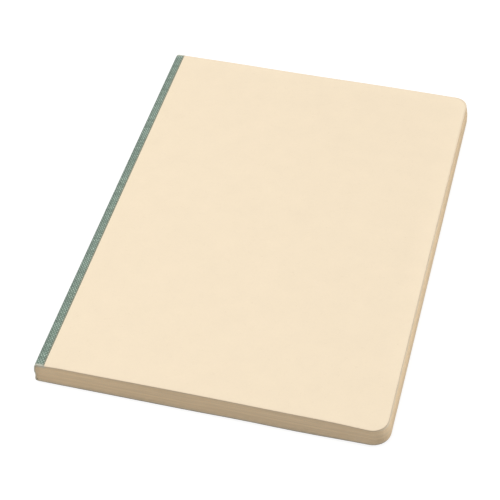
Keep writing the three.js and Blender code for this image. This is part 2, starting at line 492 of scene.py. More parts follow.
def cut_layers(wiring, source):
    """The trimmed edge of a stack: thin streaks that follow the sheets, with a few cut marks."""
    position = source["Position"]
    thin = wiring.vector("MULTIPLY", position, (0.11, 0.11, 9.0))
    wide = wiring.vector("MULTIPLY", position, (0.02, 0.02, 1.3))
    fine_streak = wiring.sway(wiring.noise(thin, 1.0, 3, 0.6))
    wide_streak = wiring.sway(wiring.noise(wide, 1.0, 2))
    tone = wiring.line(wide_streak, 0.6, wiring.line(source["Sheet Tone"], 0.6, fine_streak))
    colour = wiring.brighten(source["Base Colour"], wiring.line(tone, source["Streaks"], 1.0))
    dust_and_shade = wiring.ramp(wiring.noise(position, 3.0, 3, 0.7), 0.55, 0.75, 0, 0.25)
    colour = wiring.mix(dust_and_shade, colour, source["Dark Colour"])
    marks = wiring.noise(wiring.vector("MULTIPLY", position, (2.6, 2.6, 0.25)), 1.0, 2)
    return colour, wiring.line(marks, 0.4, wiring.times(fine_streak, 0.5))


def plain_weave(wiring, source):
    """Threads over and under each other. The run is in millimetres, along and over the spine."""
    run = wiring.vector("MULTIPLY", source["Run"], (1, 1, 0))
    wobble = wiring.add(
        "ShaderNodeTexNoise",
        {"noise_dimensions": "2D"},
        {"Vector": run, "Scale": 0.8, "Detail": 2.0},
    ).outputs["Color"]
    shift = wiring.add("ShaderNodeVectorMath", {"operation": "SCALE"}, {0: wobble, "Scale": 0.16}).outputs[0]
    cells = []
    rounds = []
    for part, pitch in zip(wiring.split(wiring.vector("ADD", run, shift)), ("Warp Pitch", "Weft Pitch")):
        count = wiring.math("DIVIDE", part, source[pitch])
        cells.append(wiring.math("FLOOR", count))
        rounds.append(wiring.math("SINE", wiring.times(wiring.math("FRACT", count), math.pi)))
    parity = wiring.math("FLOORED_MODULO", wiring.math("ADD", *cells), 2.0)
    warp_top = wiring.times(rounds[0], wiring.line(rounds[1], 0.55, 0.45))
    weft_top = wiring.times(rounds[1], wiring.line(rounds[0], 0.55, 0.45))
    tops = {0: parity, 2: warp_top, 3: weft_top}
    height = wiring.add("ShaderNodeMix", {"data_type": "FLOAT"}, tops).outputs[0]
    threads = []
    for cell, row, colour in zip(cells, (3.7, 9.1), ("Warp Colour", "Weft Colour")):
        inputs = {"Vector": wiring.join(cell, row)}
        pick = wiring.add("ShaderNodeTexWhiteNoise", {"noise_dimensions": "2D"}, inputs).outputs["Value"]
        threads.append(wiring.brighten(source[colour], wiring.line(pick, 0.5, 0.75)))
    # Painted shade and highlight: where a thread dips under the other it is darkened, and its crown is lightened.
    colour = wiring.brighten(wiring.mix(parity, *threads), wiring.ramp(height, 0.1, 0.75, 0.62, 1.12))
    fuzz = wiring.noise(run, 14.0, 2, 0.6)
    colour = wiring.brighten(colour, wiring.ramp(fuzz, 0.3, 0.7, 0.93, 1.07))
    slub = wiring.noise(run, 0.9, 2, 0.7)
    colour = wiring.brighten(colour, wiring.ramp(slub, 0.3, 0.7, 0.86, 1.14))
    return colour, wiring.line(fuzz, 0.12, height)


def rim_distance(wiring, source):
    """How far a point lies inside the cover's outline, in millimetres."""
    offset = wiring.vector("SUBTRACT", source["Position"], source["Middle"])
    folded = wiring.vector("ABSOLUTE", wiring.vector("MULTIPLY", offset, (1, 1, 0)))
    parts = wiring.split(wiring.vector("SUBTRACT", folded, source["Half Size"]))
    x_part, y_part = (wiring.math("ADD", part, source["Corner"]) for part in parts[:2])
    outside = wiring.join(*(wiring.math("MAXIMUM", part, 0.0) for part in (x_part, y_part)))
    reach = wiring.add("ShaderNodeVectorMath", {"operation": "LENGTH"}, {0: outside}).outputs["Value"]
    inside = wiring.math("MINIMUM", wiring.math("MAXIMUM", x_part, y_part), 0.0)
    signed = wiring.math("SUBTRACT", wiring.math("ADD", reach, inside), source["Corner"])
    return (wiring.times(signed, -1.0),)


def glue_and_shade_edge(wiring, source):
    """Masks in the trimmed edges: glue that has seeped next to the spine's upper bend, painted shade on the
    fore edge right under the front cover, and at the tail painted shade next to the floor at the foot and
    painted shade that grows towards the fore edge. Positions are in millimetres."""
    x, y, z = wiring.split(source["Position"])
    ragged = wiring.noise(source["Position"], 1.3, 3, 0.6)
    bend_x = wiring.line(ragged, 1.6, x)
    bend_z = wiring.line(ragged, 0.8, z)
    at_tail = wiring.ramp(y, -101, -97, 1, 0)
    glue = wiring.times(wiring.ramp(bend_x, -69.2, -67.4, 1, 0), wiring.ramp(bend_z, 8.9, 9.8))
    # Painted shade: the fore edge right under the front cover's overhang.
    cover_shade = wiring.times(wiring.ramp(x, 64, 70), wiring.ramp(bend_z, 8.9, 9.9))
    # Painted shade: the lowest edges at the tail are darkened next to the floor.
    floor_shade = wiring.times(at_tail, wiring.ramp(bend_z, 1.4, 2.6, 1, 0))
    # Painted shade: at the tail the edges grow darker towards the fore edge.
    dust_and_shade = wiring.times(at_tail, wiring.ramp(x, -60, 70))
    return glue, cover_shade, floor_shade, dust_and_shade


ORIGIN = (0, 0, 0)
GREY = (0.8, 0.8, 0.8, 1)
BROWN = (0.4, 0.3, 0.2, 1)

GROUPS = {
    "paper stock": (
        paper_stock,
        {
            "Position": ORIGIN,
            "Base Colour": GREY,
            "Dark Fibre": BROWN,
            "Light Fibre": (1, 1, 1, 1),
            "Fibre Size": 1.2,
            "Fibre Amount": 0.2,
            "Mottle": 0.02,
        },
        ("Colour", "Height", "Roughness"),
    ),
    "cut layers": (
        cut_layers,
        {"Position": ORIGIN, "Base Colour": GREY, "Dark Colour": BROWN, "Sheet Tone": 0.0, "Streaks": 0.05},
        ("Colour", "Height"),
    ),
    "plain weave": (
        plain_weave,
        {"Run": ORIGIN, "Warp Pitch": 0.4, "Weft Pitch": 0.4, "Warp Colour": GREY, "Weft Colour": GREY},
        ("Colour", "Height"),
    ),
    "rim distance": (
        rim_distance,
        {"Position": ORIGIN, "Middle": ORIGIN, "Half Size": (1, 1, 0), "Corner": 8.0},
        ("Distance",),
    ),
    "glue and shade edge": (glue_and_shade_edge, {"Position": ORIGIN}, ("Glue", "Cover Shade", "Floor Shade", "Corner Shade")),
}


# Materials


def new_material(name):
    made = bpy.data.materials.new(name)
    made.use_nodes = True
    return made, Wiring(made.node_tree)


def material(name, build, *values):
    """A material, made the first time that it is asked for. What builds it gives the values of the
    shader's sockets, and the pattern and real depth of its relief."""
    if name in bpy.data.materials:
        return bpy.data.materials[name]
    made, wiring = new_material(name)
    surface = made.node_tree.nodes["Principled BSDF"]
    sockets, height, depth = build(wiring, *values)
    for socket, value in sockets.items():
        wiring.feed(surface.inputs[socket], value)
    relief = wiring.add("ShaderNodeBump", inputs={"Height": height, "Distance": depth, "Strength": 1.0})
    wiring.feed(surface.inputs["Normal"], relief.outputs[0])
    return made


def finish(colour, roughness, specular=0.5, **more):
    return {"Base Color": colour, "Roughness": roughness, "Specular IOR Level": specular, **more}


def fibrous_stock(wiring, position, colour, fibre_size, fibre_amount, mottle):
    """The paper stock group with the fibres of this notebook."""
    cover = bpy.context.scene.notebook_cover
    inputs = {
        "Position": position,
        "Base Colour": colour,
        "Dark Fibre": cover.dark_fibre_colour,
        "Light Fibre": cover.light_fibre_colour,
        "Fibre Size": fibre_size,
        "Fibre Amount": fibre_amount,
        "Mottle": mottle,
    }
    return wiring.group("paper stock", inputs)


def card_face(wiring, outline, corner):
    """The recycled card's face, a little rubbed along its cut edges."""
    cover = bpy.context.scene.notebook_cover
    position = wiring.position()
    stock = fibrous_stock(wiring, position, cover.card_colour, 1.5, 0.16, 0.011)
    low, high = outline
    middle = (low + high) / 2 * PER_METRE
    half = (high - low) / 2 * PER_METRE
    inputs = {
        "Position": position,
        "Middle": (middle.x, middle.y, 0),
        "Half Size": (half.x, half.y, 0),
        "Corner": corner * PER_METRE,
    }
    rim = wiring.group("rim distance", inputs)["Distance"]
    rubbed = wiring.ramp(wiring.line(wiring.noise(position, 1.6, 3, 0.6), 0.5, rim), 0.25, 0.75, 0.35, 0)
    colour = wiring.mix(rubbed, stock["Colour"], cover.card_edge_colour)
    return finish(colour, stock["Roughness"], 0.3), stock["Height"], 0.018 * MM


def sheet_face(wiring, colour, fibre_amount, relief):
    """The face of a sheet of uncoated paper."""
    stock = fibrous_stock(wiring, wiring.position(), colour, 0.8, fibre_amount, 0.008)
    return finish(stock["Colour"], stock["Roughness"], 0.3), stock["Height"], relief


def trimmed_edge(wiring, colour, tone, streaks, glue_share):
    """What card and sheets have in common where they are trimmed: layers, and glue near the spine."""
    position = wiring.position()
    inputs = {
        "Position": position,
        "Base Colour": colour,
        "Dark Colour": bpy.context.scene.notebook_cover.dark_fibre_colour,
        "Sheet Tone": tone,
        "Streaks": streaks,
    }
    layers = wiring.group("cut layers", inputs)
    glue_and_shade = wiring.group("glue and shade edge", {"Position": position})
    glue = wiring.times(glue_and_shade["Glue"], glue_share)
    glued = wiring.mix(glue, layers["Colour"], bpy.context.scene.notebook_spine.cut_colour)
    return glued, layers["Height"], glue_and_shade


def card_edge(wiring, colour):
    """The cut edge of the card: pressed pulp in faint plies."""
    cover = bpy.context.scene.notebook_cover
    glued, height, glue_and_shade = trimmed_edge(wiring, colour, 0.0, 0.07, 0.8)
    # Painted shade: the card's cut edge is darkened next to the floor at the tail.
    floor_shaded = wiring.mix(wiring.times(glue_and_shade["Floor Shade"], 0.5), glued, cover.floor_shade_colour)
    return finish(floor_shaded, 0.9, 0.25), height, 0.02 * MM


def sheet_edge(wiring):
    """The trimmed edge of the sheets, each with a tone of its own."""
    cover = bpy.context.scene.notebook_cover
    paper = bpy.context.scene.notebook_paper
    tone = wiring.add("ShaderNodeAttribute", {"attribute_name": "sheet_tone"}).outputs["Fac"]
    glued, height, glue_and_shade = trimmed_edge(wiring, paper.page_edge_colour, tone, 0.085, 0.7)
    # Painted shade: the fore edge right under the front cover is darkened where the cover overhangs it.
    darkened = wiring.mix(wiring.times(glue_and_shade["Cover Shade"], 0.4), glued, cover.dark_fibre_colour)
    # Painted shade: at the tail the edges are darkened next to the floor and towards the fore edge.
    dust_and_shade = wiring.line(glue_and_shade["Corner Shade"], 0.12, wiring.times(glue_and_shade["Floor Shade"], 0.22))
    return finish(wiring.mix(dust_and_shade, darkened, cover.floor_shade_colour), 0.92, 0.2), height, 0.012 * MM


def book_cloth(wiring):
    """Woven book cloth whose dye thins out at the cut ends."""
    spine = bpy.context.scene.notebook_spine
    run = wiring.cloth_run()
    inputs = {
        "Run": run,
        "Warp Pitch": spine.warp_pitch * PER_METRE,
        "Weft Pitch": spine.weft_pitch * PER_METRE,
        "Warp Colour": spine.warp_colour,
        "Weft Colour": spine.weft_colour,
    }
    cloth = wiring.group("plain weave", inputs)
    along, over, _ = wiring.split(run)
    from_end = wiring.math("SUBTRACT", HEAD_Y * PER_METRE, wiring.math("ABSOLUTE", along))
    ragged = wiring.line(wiring.noise(run, 2.4, 2, 0.6), 0.8, from_end)
    colour = wiring.mix(wiring.ramp(ragged, 0.5, 1.7, 0.8, 0), cloth["Colour"], spine.cut_colour)
    strip_end = PER_METRE * spine_distance(Vector((STRIP_END_X, 0, TOP_Z)), 0.0, spine.back_bend_radius)
    from_edge = wiring.math("SUBTRACT", strip_end, wiring.math("ABSOLUTE", over))
    ragged_from_edge = wiring.line(wiring.noise(run, 1.6, 3, 0.6), 0.5, from_edge)
    # Partly glue stain, partly painted shadow along the tape's long edges where they step down on to the card.
    colour = wiring.mix(wiring.ramp(ragged_from_edge, 0.4, 1.1, 0.65, 0), colour, spine.edge_stain_and_shade_colour)
    sheen = {"Sheen Weight": 0.15, "Sheen Roughness": 0.5}
    return finish(colour, 0.82, 0.3, **sheen), cloth["Height"], 0.06 * MM


def cloth_cut(wiring):
    """The cut end of the cloth, where its pale backing and the ends of its threads show."""
    spine = bpy.context.scene.notebook_spine
    position = wiring.position()
    ends = wiring.noise(position, 6.0, 3, 0.7)
    colour = wiring.mix(wiring.ramp(ends, 0.5, 0.68, 0, 0.45), spine.cut_colour, spine.warp_colour)
    level = wiring.line(wiring.noise(position, 1.6, 3, 0.6), 0.8, wiring.split(position)[2])
    colour = wiring.mix(wiring.ramp(level, 4.6, 5.8, 0.85, 0), colour, spine.stained_cut_colour)
    return finish(colour, wiring.ramp(ends, 0.3, 0.7, 0.85, 0.95), 0.2), ends, 0.05 * MM


def gauze_cut(wiring):
    """The cut end of the gauze and glue, pale near the front cover and stained towards the back."""
    spine = bpy.context.scene.notebook_spine
    position = wiring.position()
    blotch = wiring.noise(position, 1.6, 3, 0.6)
    level = wiring.line(blotch, 1.5, wiring.split(position)[2])
    colour = wiring.mix(wiring.ramp(level, 4.2, 6.6, 0, 0.85), spine.stained_cut_colour, spine.cut_colour)
    return finish(colour, wiring.ramp(blotch, 0.3, 0.7, 0.7, 0.9), 0.25), blotch, 0.04 * MM


def gauze(wiring):
    """Open gauze set in glue."""
    pale = bpy.context.scene.notebook_spine.lining_colour
    inputs = {
        "Run": wiring.cloth_run(),
        "Warp Pitch": 0.9,
        "Weft Pitch": 0.9,
        "Warp Colour": pale,
        "Weft Colour": pale * 0.86,
    }
    cloth = wiring.group("plain weave", inputs)
    glue = wiring.noise(wiring.position(), 0.7, 3, 0.6)
    colour = wiring.mix(wiring.ramp(glue, 0.45, 0.65, 0.1, 0.6), cloth["Colour"], pale)
    return finish(colour, wiring.ramp(glue, 0.4, 0.7, 0.85, 0.5)), cloth["Height"], 0.08 * MM


def linen(wiring):
    """Linen thread with its plies twisted together."""
    sewing = bpy.context.scene.notebook_sewing
    position = wiring.position()
    parts = wiring.split(position)
    turn = wiring.math("DIVIDE", parts[1], sewing.twist_pitch * PER_METRE)
    slant = wiring.line(parts[2], 1.6, turn)
    ply = wiring.math("ABSOLUTE", wiring.math("SINE", wiring.times(slant, math.tau)))
    fuzz = wiring.noise(position, 18.0, 2, 0.6)
    shade = wiring.line(ply, 0.22, wiring.ramp(fuzz, 0.3, 0.7, 0.78, 0.9))
    colour = wiring.brighten(sewing.thread_colour, shade)
    return finish(colour, 0.75), wiring.line(fuzz, 0.2, ply), 0.05 * MM


def floor_material():
    """White to the camera with the notebook's shadow on it, and a plain grey for all other light."""
    made, wiring = new_material("studio floor")
    wiring.tree.nodes.remove(wiring.tree.nodes["Principled BSDF"])
    tone = wiring.ramp(wiring.noise(wiring.position(), 0.02, 3), 0.3, 0.7, 0.36, 0.42)
    plain = wiring.add("ShaderNodeBsdfDiffuse", inputs={"Color": tone}).outputs[0]
    glow = wiring.add("ShaderNodeEmission", inputs={"Color": (1, 1, 1), "Strength": 0.84}).outputs[0]
    shaded = wiring.add("ShaderNodeBsdfDiffuse", inputs={"Color": (0.27, 0.27, 0.27)}).outputs[0]
    bright = wiring.add("ShaderNodeAddShader", inputs={0: glow, 1: shaded}).outputs[0]
    mixed = wiring.add("ShaderNodeMixShader", inputs={0: wiring.seen(), 1: plain, 2: bright}).outputs[0]
    wiring.feed(wiring.tree.nodes["Material Output"].inputs["Surface"], mixed)
    return made


# Shapes


def add_object(name, data):
    made = bpy.data.objects.new(name, data)
    bpy.context.scene.collection.objects.link(made)
    return made


def add_mesh(name, shape, materials):
    """An object made of a bmesh, which is freed."""
    mesh = bpy.data.meshes.new(name)
    shape.to_mesh(mesh)
    shape.free()
    for surface in materials:
        mesh.materials.append(surface)
    return add_object(name, mesh)


def finish_piece(name, shape, materials, nodes, sharp_angle=35):
    """Turns a bmesh into a piece that stands for the CAD nodes."""
    piece = add_mesh(name, shape, materials)
    piece.data.shade_smooth()
    piece.data.set_sharp_from_angle(angle=math.radians(sharp_angle))
    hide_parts(*nodes)
    return piece


def verts_of(items):
    return [item for item in items if isinstance(item, bmesh.types.BMVert)]


def extrude_faces(shape, faces, step):
    """Draws faces out by a step into a closed shape."""
    grown = bmesh.ops.extrude_face_region(shape, geom=faces)["geom"]
    bmesh.ops.translate(shape, vec=step, verts=verts_of(grown))
    bmesh.ops.recalc_face_normals(shape, faces=shape.faces)


def spin(shape, geometry, centre, turn, steps):
    """Turns an outline about an axis along Y."""
    return bmesh.ops.spin(
        shape,
        geom=geometry,
        cent=centre,
        axis=(0, 1, 0),
        dvec=(0, 0, 0),
        angle=turn,
        steps=steps,
        use_merge=False,
        use_duplicate=False,
    )["geom_last"]


def bevel(shape, geometry, offset, segments, affect="EDGES", clamp=False):
    bmesh.ops.bevel(
        shape,
        geom=geometry,
        offset=offset,
        offset_type="OFFSET",
        segments=segments,
        profile=0.5,
        affect=affect,
        material=-1,
        clamp_overlap=clamp,
    )


def merge_in(shape, other):
    """Adds another shape to a shape, and frees the other."""
    scratch = bpy.data.meshes.new("scratch")
    other.to_mesh(scratch)
    other.free()
    shape.from_mesh(scratch)
    bpy.data.meshes.remove(scratch)


def edge_faces(shape, limit=0.5):
    """The faces that don't lie flat."""
    return [face for face in shape.faces if abs(face.normal.z) < limit]


def cut_loops(shape, planes):
    """Adds a loop of points where each plane crosses the shape."""
    for point, normal in planes:
        geometry = [*shape.verts, *shape.edges, *shape.faces]
        bmesh.ops.bisect_plane(shape, geom=geometry, dist=WELD, plane_co=point, plane_no=normal)


def smooth_share(value):
    value = max(0.0, min(1.0, value))
    return value * value * (3 - 2 * value)


def fade(distance, reach):
    """From 1 at no distance towards 0. The reach is in millimetres."""
    return math.exp(-distance / (reach * MM))


def wave(at, crest, span, share, rise):
    """A wave whose crest is at a place, raised as a whole. Crest and span are in millimetres."""
    return share * math.cos(math.tau * (at / MM - crest) / span) + rise


def settled(at, paper):
    """Where a point of the square stack lies once the sheets have slipped a little at the fore edge,
    the soft covers wave, the corner between the tail and the fore edge is pressed together, the
    spine stands out at the tail and the tape reaches further over the front cover there."""
    share = max(0.0, min(1.0, at.z / TOP_Z))
    across = max(0.0, (at.x - SPINE_X) / (BACK_CARD[1].x - SPINE_X))
    from_tail = at.y - TAIL_Y
    from_corner = math.hypot(at.x - BACK_CARD[1].x, from_tail)
    swell = 4 * paper.fore_swell * share * (1 - share)
    swell *= 1 - 0.5 * smooth_share(at.y / HEAD_Y)
    if at.z < FRONT_CARD[0].z:
        swell -= paper.cover_lip * fade(FRONT_CARD[0].z - at.z, LIP_REACH)
    skew = paper.front_skew * share * max(0.0, at.y / HEAD_Y)
    free = smooth_share((at.x - SPINE_X - STIFF_REACH * MM) / (EASE_REACH * MM))
    near_tail = free * fade(from_tail, TAIL_REACH)
    near_head = free * fade(HEAD_Y - at.y, HEAD_REACH)
    top = paper.front_wave * wave(at.x, *TAIL_WAVE) * near_tail
    top += paper.front_wave * wave(at.x, *HEAD_WAVE) * near_head
    top -= paper.corner_press * smooth_share(1 - from_corner / (PRESS_REACH * MM))
    at_spine = smooth_share((SPINE_X + DROOP_WIDTH * MM - at.x) / (DROOP_EASE * MM))
    top -= paper.tail_droop * fade(from_tail, DROOP_REACH) * at_spine
    bottom = paper.back_wave * wave(max(at.x, BACK_WAVE[0] * MM), *BACK_WAVE) * near_tail
    bottom += paper.corner_lift * smooth_share(1 - from_corner / (LIFT_REACH * MM))
    flare = spine_flare(at.z, paper) * fade(at.x - SPINE_X, FLARE_REACH)
    flare *= 0.55 * fade(from_tail, FLARE_REACH) + 0.45 * fade(from_tail, FLARE_TAIL_REACH)
    slant = paper.tape_slant * max(0.0, (SLANT_START * MM - at.y) / (SLANT_START * MM - TAIL_Y))
    slant *= math.exp(-(((at.x - STRIP_END_X) / (SLANT_REACH * MM)) ** 2))
    slant *= smooth_share((at.z - FRONT_CARD[0].z) / (SLANT_EASE * MM))
    height = at.z + top * share + bottom * (1 - share)
    return Vector((at.x + across * (swell + skew) - flare + slant, at.y, height))


def spine_flare(height, paper):
    """How far the spine stands out at the tail. What stands out above an opening is tucked in as much
    below it, so that the two sides can fold back flat against each other."""
    low, _, high = OPENING_HEIGHTS.values()
    sway = -paper.tail_sway * math.sin(math.tau * (height - low) / (high - low))
    if height > high:
        sway *= 0.5
    shoulder = smooth_share((height - SHOULDER_START * MM) / (SHOULDER_EASE * MM))
    return sway + paper.tail_shoulder * shoulder


def settle(shape, columns=COLUMNS):
    """Cuts a piece into a grid and lets it follow the stack's soft form."""
    paper = bpy.context.scene.notebook_paper
    across = [((x * MM, 0, 0), (1, 0, 0)) for x in columns]
    along = [((0, y * MM, 0), (0, 1, 0)) for y in ROWS]
    cut_loops(shape, across + along)
    for vert in shape.verts:
        vert.co = settled(vert.co, paper)
    shape.normal_update()


def corner_radii(paper, height):
    """Radius of the trimmed corners at the tail and at the head, in a leaf at this height."""
    spread = paper.corner_spread * (1 - height / TOP_Z)
    return paper.corner_radius + spread, paper.head_corner_radius - 2 * spread


def leaf_outline(low, high, height, corners):
    """A flat leaf whose two fore-edge corners are rounded."""
    shape = bmesh.new()
    bmesh.ops.create_grid(shape, x_segments=1, y_segments=1, size=0.5)
    bmesh.ops.scale(shape, vec=(high[0] - low[0], high[1] - low[1], 1), verts=shape.verts)
    middle = ((low[0] + high[0]) / 2, (low[1] + high[1]) / 2, height)
    bmesh.ops.translate(shape, vec=middle, verts=shape.verts)
    for end_y, corner in zip((low[1], high[1]), corners):
        fore = [v for v in shape.verts if v.co.x > high[0] - NEAR and abs(v.co.y - end_y) < NEAR]
        bevel(shape, fore, corner, 12, "VERTICES")
    return shape


def folded_sheet(low, lower_high, upper_fore, middle, reach, thickness, corners):
    """One sheet folded over at the spine. Reach is from the middle of the fold to its outer face."""
    fold_x = low[0]
    shape = leaf_outline(low, lower_high, middle + reach, corners)
    spine_edge = [edge for edge in shape.edges if all(v.co.x < fold_x + NEAR for v in edge.verts)][0]
    copy = bmesh.ops.duplicate(shape, geom=list(shape.faces))["geom"]
    lower_faces = [item for item in copy if isinstance(item, bmesh.types.BMFace)]
    to_middle = Matrix.Translation((0, 0, middle))
    turn = to_middle @ Matrix.Diagonal((1, 1, -1, 1)) @ to_middle.inverted()
    bmesh.ops.transform(shape, matrix=turn, verts=verts_of(copy))
    bmesh.ops.reverse_faces(shape, faces=lower_faces)
    upper_verts = [v for v in shape.verts if v.co.z > middle and v.co.x > fold_x + 5 * MM]
    bmesh.ops.translate(shape, vec=(upper_fore - lower_high[0], 0, 0), verts=upper_verts)
    spin(shape, [spine_edge, *spine_edge.verts], (fold_x, 0, middle), -math.pi, 8)
    bmesh.ops.remove_doubles(shape, verts=shape.verts, dist=LEVEL)
    bmesh.ops.recalc_face_normals(shape, faces=shape.faces)
    bmesh.ops.solidify(shape, geom=list(shape.faces), thickness=thickness)
    return shape


def press_fold(shape, fold_x, middle, inner, outer, ease):
    """Presses the sheets together towards the fold, so that they pass round the thread."""
    squeeze = (outer - THREAD_CHANNEL) / (outer - inner)
    for vert in shape.verts:
        along = vert.co.x - fold_x
        rise = vert.co.z - middle
        if along <= 0:
            radius = math.hypot(along, rise)
            factor = (THREAD_CHANNEL + (radius - inner) * squeeze) / radius
            vert.co.x = fold_x + along * factor
            vert.co.z = middle + rise * factor
        elif along < ease:
            height = abs(rise)
            target = THREAD_CHANNEL + (height - inner) * squeeze
            share = smooth_share(1 - along / ease)
            vert.co.z = middle + math.copysign(height + (target - height) * share, rise)


def page_section(box, paper, rng):
    """The sheets of one section, nested in each other."""
    low, high = box
    middle = (low.z + high.z) / 2
    outer = (high.z - low.z) / 2
    fold_x = low.x + outer
    pitch = (outer - SECTION_PLAY) / paper.sheets_per_section
    slack = (pitch - paper.sheet_thickness) / 2
    inner = outer - paper.sheets_per_section * pitch + slack
    lean = (BACK_CARD[1].x - FRONT_CARD[1].x) / (FRONT_CARD[0].z - BACK_CARD[0].z)
    section = bmesh.new()
    section.verts.layers.float.new("sheet_tone")
    section_shift = rng.uniform(0, 0.8) * paper.trim_wander
    section_tone = rng.uniform(-1, 1)
    for depth in range(paper.sheets_per_section):
        reach = outer - slack - depth * pitch
        trims = [rng.uniform(0, 1) * paper.trim_wander + section_shift for _ in range(4)]
        lower, upper, tail, head = trims
        lower_fore = min(BACK_CARD[1].x - lean * (middle - reach), high.x) - lower
        upper_fore = BACK_CARD[1].x - lean * (middle + reach) - upper
        sheet = folded_sheet(
            (fold_x, low.y + 0.5 * tail),
            (lower_fore, high.y - 0.5 * head),
            upper_fore,
            middle,
            reach,
            paper.sheet_thickness,
            corner_radii(paper, middle),
        )
        near_fold = [fold_x + share * paper.fold_ease for share in (0.2, 0.45, 0.7, 1.0)]
        cut_loops(sheet, [((x, 0, 0), (1, 0, 0)) for x in near_fold])
        press_fold(sheet, fold_x, middle, inner, outer, paper.fold_ease)
        settle(sheet)
        tone = sheet.verts.layers.float.new("sheet_tone")
        value = 0.6 * section_tone + 0.6 * rng.uniform(-1, 1)
        for vert in sheet.verts:
            vert[tone] = value
        merge_in(section, sheet)
    section.normal_update()
    for face in edge_faces(section, 0.3):
        centre = face.calc_center_median()
        if centre.x > fold_x + paper.fold_ease or abs(face.normal.y) > 0.7:
            face.material_index = 1
    return section


def flat_sheet(box, corners):
    """A single flat leaf in its CAD node's box."""
    low, high = box
    thickness = high.z - low.z - LEAF_PLAY
    shape = leaf_outline(low, high, (low.z + high.z) / 2 + thickness / 2, corners)
    bmesh.ops.solidify(shape, geom=list(shape.faces), thickness=thickness)
    bmesh.ops.recalc_face_normals(shape, faces=shape.faces)
    for face in edge_faces(shape):
        face.material_index = 1
    settle(shape)
    return shape


def card_cover(box, end_x, outward, ledge_depth, corners, rounding):
    """A card cover with the low ledge along its spine side that the tape lies on."""
    low, high = box
    outer_z, inner_z = (high.z, low.z) if outward > 0 else (low.z, high.z)
    ledge_x = STRIP_END_X + LEDGE_GAP
    ledge_z = outer_z - outward * ledge_depth
    outline = [
        (end_x, inner_z),
        (high.x, inner_z),
        (high.x, outer_z),
        (ledge_x, outer_z),
        (ledge_x, ledge_z),
        (end_x, ledge_z),
    ]
    shape = bmesh.new()
    profile = shape.faces.new([shape.verts.new((x, low.y, z)) for x, z in outline])
    extrude_faces(shape, [profile], (0, high.y - low.y, 0))
    for end_y, corner in zip((low.y, high.y), corners):
        upright = [
            edge
            for edge in shape.edges
            if all(v.co.x > high.x - NEAR and abs(v.co.y - end_y) < NEAR for v in edge.verts)
        ]
        bevel(shape, upright, corner, 16)
    rims = [
        edge
        for edge in shape.edges
        if len(edge.link_faces) == 2
        and edge.calc_face_angle() > SQUARE_ANGLE
        and abs(edge.verts[0].co.z - edge.verts[1].co.z) < LEVEL
        and all(v.co.x > ledge_x - NEAR for v in edge.verts)
        and not all(v.co.x < ledge_x + NEAR for v in edge.verts)
    ]
    bevel(shape, rims, rounding, 3, clamp=True)
    shape.normal_update()
    for face in edge_faces(shape, 0.6):
        face.material_index = 1
    settle(shape)
    return shape


def spine_distance(at, inset, back_bend):
    """Length over the spine's surface from its middle height to a place on it, upwards positive.
    Inset is how far the surface lies inside the tape's outer face."""
    middle_z = TOP_Z / 2
    side = 1 if at.z > middle_z else -1
    bend = BEND_RADIUS if side > 0 else back_bend
    straight = middle_z - bend
    rise = side * (at.z - middle_z)
    if rise <= straight:
        return side * rise
    radius = bend - inset
    across = at.x - (SPINE_X + bend)
    if across >= 0:
        return side * (straight + math.pi / 2 * radius + across)
    return side * (straight + math.atan2(rise - straight, -across) * radius)


def spine_strip(start, steps, thickness, inset=0.0, creases=(), rounding=0.0):
    """A strip that follows the spine's outer face. Each step is a straight run to a place in X and Z,
    or a bend about a centre through an angle. The thickness goes inwards."""
    shape = bmesh.new()
    last = shape.verts.new((start[0], TAIL_Y, start[1]))
    for x, z, *turn in steps:
        if turn:
            last = verts_of(spin(shape, [last], (x, TAIL_Y, z), turn[0], 14))[0]
        else:
            last = bmesh.ops.extrude_vert_indiv(shape, verts=[last])["verts"][0]
            bmesh.ops.translate(shape, vec=Vector((x, TAIL_Y, z)) - last.co, verts=[last])
    bmesh.ops.remove_doubles(shape, verts=shape.verts, dist=WELD)
    grown = bmesh.ops.extrude_edge_only(shape, edges=list(shape.edges))["geom"]
    bmesh.ops.translate(shape, vec=(0, HEAD_Y - TAIL_Y, 0), verts=verts_of(grown))
    shape.normal_update()
    inside = Vector((CARD_END_X, 0, TOP_Z / 2))
    wrong = [face for face in shape.faces if face.normal.dot(face.calc_center_median() - inside) < 0]
    bmesh.ops.reverse_faces(shape, faces=wrong)
    bmesh.ops.solidify(shape, geom=list(shape.faces), thickness=thickness)
    cut_loops(shape, [((0, 0, height), (0, 0, 1)) for height in creases])
    shape.normal_update()
    if rounding:
        round_rims(shape, rounding)
    shape.normal_update()
    layer = shape.loops.layers.uv.new("cloth_run")
    back_bend = bpy.context.scene.notebook_spine.back_bend_radius
    for face in shape.faces:
        if abs(face.normal.y) > 0.6:
            face.material_index = 1
        for loop in face.loops:
            loop[layer].uv = (loop.vert.co.y, spine_distance(loop.vert.co, inset, back_bend))
    settle(shape, ())
    return shape


def round_rims(shape, rounding):
    """Softens the cut ends of the tape and its long edges on the covers."""
    rims = []
    for edge in shape.edges:
        if len(edge.link_faces) != 2 or edge.calc_face_angle() < SQUARE_ANGLE:
            continue
        at_end = all(abs(abs(v.co.y) - HEAD_Y) < LEVEL for v in edge.verts)
        at_strip = {round(v.co.x, 7) for v in edge.verts} == {round(STRIP_END_X, 7)}
        level = abs(edge.verts[0].co.y - edge.verts[1].co.y) < LEVEL
        if at_strip and not level:
            rims.append(edge)
        elif at_end and not at_strip and not is_seam(edge):
            rims.append(edge)
    bevel(shape, rims, rounding, 2, clamp=True)


def is_seam(edge):
    """True for the short edges where one stretch of tape meets the next."""
    first, second = (vert.co for vert in edge.verts)
    return abs(first.z - second.z) < LEVEL and first.x < CARD_END_X and second.x < CARD_END_X


